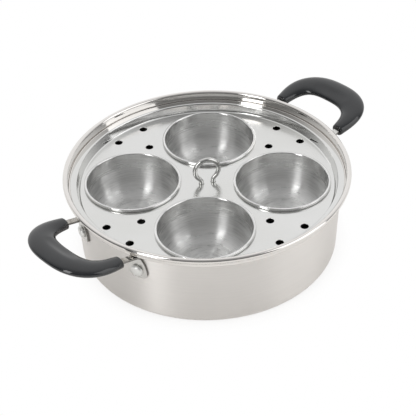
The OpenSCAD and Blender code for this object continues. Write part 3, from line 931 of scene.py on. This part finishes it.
def grip_rings():
    """All rings of a grip, from its first rounded end round the bow to the other."""
    line = evenly([bow(k / 300) for k in range(-300, 301)], 90)
    ends = [GRIP_END_X + GRIP_EDGE_R * (1 - cos(radians(a))) for a in range(0, 91, 15)]
    insets = [GRIP_EDGE_R * (1 - sin(radians(a))) for a in range(0, 91, 15)]
    start = [(Vector((x, -GRIP_SPAN)), inset) for x, inset in zip(ends, insets)]
    stop = [(Vector((p.x, -p.y)), inset) for p, inset in reversed(start)]
    places = start + [(p, 0.0) for p in line] + stop
    rings = []
    for k, (here, inset) in enumerate(places):
        before, after = places[max(k - 1, 0)][0], places[min(k + 1, len(places) - 1)][0]
        rings.append(grip_section(here, (after - before).normalized(), inset, here.y / GRIP_SPAN))
    return rings


def match_ring(ring, other):
    """Starts the ring at the point nearest to the other's first point, and runs it the same way round."""
    centre = sum(ring, Vector((0, 0, 0))) / len(ring)
    middle = sum(other, Vector((0, 0, 0))) / len(other)

    def turn_of(p, c):
        return atan2(p.z - c.z, p.y - c.y)

    way = (turn_of(other[1], middle) - turn_of(other[0], middle) + pi) % (2 * pi) - pi
    own = (turn_of(ring[1], centre) - turn_of(ring[0], centre) + pi) % (2 * pi) - pi
    if way * own < 0:
        ring = ring[::-1]
    want = turn_of(other[0], middle)
    gaps = [abs((turn_of(p, centre) - want + pi) % (2 * pi) - pi) for p in ring]
    first = gaps.index(min(gaps))
    return ring[first:] + ring[:first]


def grip(number):
    """Builds a grip: sockets first and last, so that the mesh is one closed skin."""
    rings = grip_rings()
    sockets = []
    for end in (-1, 1):
        y = end * GRIP_SPAN
        deep = [(GRIP_END_X + SOCKET_DEPTH, 0.0), (GRIP_END_X + SOCKET_LIP, 0.0),
                (GRIP_END_X + SOCKET_SOFT, SOCKET_SOFT), (GRIP_END_X, SOCKET_LIP)]
        sockets.append([socket_ring(x, y, grow) for x, grow in deep])
    facing = -1 if number == 2 else 1
    order = [match_ring(ring, rings[0]) for ring in sockets[0]] + rings
    order += [match_ring(ring, rings[-1]) for ring in sockets[1][::-1]]
    points = [(facing * p.x, facing * p.y, p.z) for ring in order for p in ring]
    faces = []
    n = GRIP_SIDES
    for k in range(len(order) - 1):
        for j in range(n):
            faces.append([k * n + j, (k + 1) * n + j, (k + 1) * n + (j + 1) % n, k * n + (j + 1) % n])
    faces.append(list(range(n)))
    faces.append(list(range((len(order) - 1) * n, len(order) * n))[::-1])
    return mesh_object(f"grip_{number}", points, faces=faces, materials=[phenolic])


# %% Phenolic
phenolic = bpy.data.materials.new("moulded black phenolic")
tree = empty_tree(phenolic)
place = add(tree, "ShaderNodeTexCoord").outputs["Object"]
mottle = add(tree, "ShaderNodeTexNoise", {"Vector": place, "Scale": 90.0, "Detail": 5.0})
pits = add(tree, "ShaderNodeTexNoise", {"Vector": place, "Scale": 1100.0, "Detail": 2.0})
ends = {"Value": mottle, **CLOUD_RANGE}
tone = add(tree, "ShaderNodeMapRange", ends)
colour = add(tree, "ShaderNodeMix", {0: tone, 6: hex_colour("15171a"), 7: hex_colour("1b1d20")},
             data_type="RGBA").outputs[2]
rough = add(tree, "ShaderNodeMapRange", {**ends, "To Min": 0.09, "To Max": 0.13})
bump = add(tree, "ShaderNodeBump", {"Strength": 0.3, "Distance": 0.02 * MM, "Height": pits})
shader = add(tree, "ShaderNodeBsdfPrincipled", {"Base Color": colour, "Roughness": rough, "IOR": 1.6,
                                                "Normal": bump})
add(tree, "ShaderNodeOutputMaterial", {"Surface": shader})

for number in (1, 2):
    piece = grip(number)
    settle(piece, "pan", "grip_phenolic", f"handle_grip_{number}")
    print(piece.name, len(piece.data.polygons), "faces")

# %% [markdown]
# ## Camera
#
# The camera stands where the photographer stood: about 95 cm away, 36 degrees above the table, with a
# long lens. These values were fitted to the ellipses of the rim, the base and the cups.

# %% Camera
FOCAL_PX = 1250.08
IMAGE_PX = 416
DISTANCE = 953.97 * MM
AZIMUTH, ELEVATION = radians(-42.2), radians(36.12)
PAN, TILT, ROLL = radians(-0.01), radians(-1.86), radians(-2.07)

camera_data = bpy.data.cameras.new("camera")
camera_data.sensor_width = 36
camera_data.lens = camera_data.sensor_width * FOCAL_PX / IMAGE_PX
camera = in_scene("camera", camera_data)
bpy.context.scene.camera = camera

right = Vector((1, 0, 0))
up = Vector((0, sin(ELEVATION), cos(ELEVATION)))
ahead = Vector((0, cos(ELEVATION), -sin(ELEVATION)))
ahead, right = cos(PAN) * ahead + sin(PAN) * right, cos(PAN) * right - sin(PAN) * ahead
ahead, up = cos(TILT) * ahead + sin(TILT) * up, cos(TILT) * up - sin(TILT) * ahead
right, up = cos(ROLL) * right + sin(ROLL) * up, cos(ROLL) * up - sin(ROLL) * right
place = Vector((0, -DISTANCE * cos(ELEVATION), DISTANCE * sin(ELEVATION) + RIM_Z * MM))
turn = Matrix.Rotation(AZIMUTH, 4, "Z")
axes = Matrix((right, up, -ahead)).transposed().to_4x4()
camera.matrix_world = turn @ Matrix.Translation(place) @ axes
print("camera at", [round(value, 4) for value in camera.matrix_world.translation])

# %% [markdown]
# ## Studio
#
# Metal shows the room, so the room is part of the finish. The photograph was lit by two soft boxes, a
# broad one on the right and a narrow one on the left: each cup has a broad and a narrow bright streak.
# The wall behind the pan is white and the side of the photographer is darker. The world is that room for
# reflections, plain light for matt surfaces, and white where the camera looks past the table.

# %% World
world = bpy.data.worlds.new("studio")
bpy.context.scene.world = world
sky = empty_tree(world)
ROOM_FRONT_LOW, ROOM_FRONT_HIGH, ROOM_BACK = 0.05, 0.34, 1.0
PLAIN_LIGHT = 0.84
path = add(sky, "ShaderNodeLightPath")
toward = add(sky, "ShaderNodeTexCoord").outputs["Generated"]
CEILING_TILT = radians(20)
front = turn @ Vector((0, -cos(CEILING_TILT), -sin(CEILING_TILT)))
facing = add(sky, "ShaderNodeVectorMath", {0: toward, 1: front}, operation="DOT_PRODUCT").outputs["Value"]
height = add(sky, "ShaderNodeSeparateXYZ", {0: toward}).outputs["Z"]
front_level = add(sky, "ShaderNodeMapRange", {"Value": height, "From Min": 0.1, "From Max": 0.7,
                                              "To Min": ROOM_FRONT_LOW, "To Max": ROOM_FRONT_HIGH})
room = add(sky, "ShaderNodeMapRange", {"Value": facing, "From Min": -0.8, "From Max": 0.15,
                                       "To Min": ROOM_BACK, "To Max": front_level},
           interpolation_type="SMOOTHSTEP")
seen = add(sky, "ShaderNodeMix", {0: path.outputs["Is Glossy Ray"], 2: PLAIN_LIGHT, 3: room})
level = add(sky, "ShaderNodeMix", {0: path.outputs["Is Camera Ray"], 2: seen, 3: 1.0})
background = add(sky, "ShaderNodeBackground", {"Color": (1, 1, 1, 1), "Strength": level})
add(sky, "ShaderNodeOutputWorld", {"Surface": background})

# %% Lamps


def soft_box(name, side_turn, height, distance, size, power):
    """An area lamp at an angle from the camera's own side, aimed at the pan."""
    data = bpy.data.lights.new(name, "AREA")
    data.shape = "RECTANGLE"
    data.size, data.size_y = size
    data.energy = power
    lamp = in_scene(name, data)
    a, e = radians(side_turn), radians(height)
    spot = turn @ Vector((sin(a) * cos(e), -cos(a) * cos(e), sin(e))) * distance
    lamp.location = spot
    lamp.rotation_euler = (-spot).to_track_quat("-Z", "Y").to_euler()
    lamp.visible_camera = False


soft_box("soft_box_right", 69, 26, 1.5, (1.15, 1.4), 6.7)
soft_box("soft_box_left", -43, 26, 1.5, (0.4, 1.4), 7.0)

# %% Table
TABLE_R = 3000.0
table_paint = bpy.data.materials.new("white matt board")
paint = empty_tree(table_paint)
place = add(paint, "ShaderNodeTexCoord").outputs["Object"]
far = add(paint, "ShaderNodeVectorMath", {0: place}, operation="LENGTH").outputs["Value"]
fade = add(paint, "ShaderNodeMapRange", {"Value": far, "From Min": 0.06, "From Max": 0.115},
           interpolation_type="SMOOTHSTEP")
matt = add(paint, "ShaderNodeBsdfDiffuse", {"Color": hex_colour("f4f3f1")})
white = add(paint, "ShaderNodeEmission", {"Color": (1, 1, 1, 1), "Strength": 1.0})
seen = add(paint, "ShaderNodeLightPath").outputs["Is Camera Ray"]
share = add(paint, "ShaderNodeMath", {0: fade, 1: seen}, operation="MULTIPLY")
mixed = add(paint, "ShaderNodeMixShader", {0: share, 1: matt, 2: white})
add(paint, "ShaderNodeOutputMaterial", {"Surface": mixed})
table_edge = [polar(TABLE_R, radians(a)) for a in range(0, 360, 5)]
table = mesh_object("table", table_edge, faces=[list(range(len(table_edge)))], materials=[table_paint])

bpy.context.scene.view_settings.view_transform = "Standard"
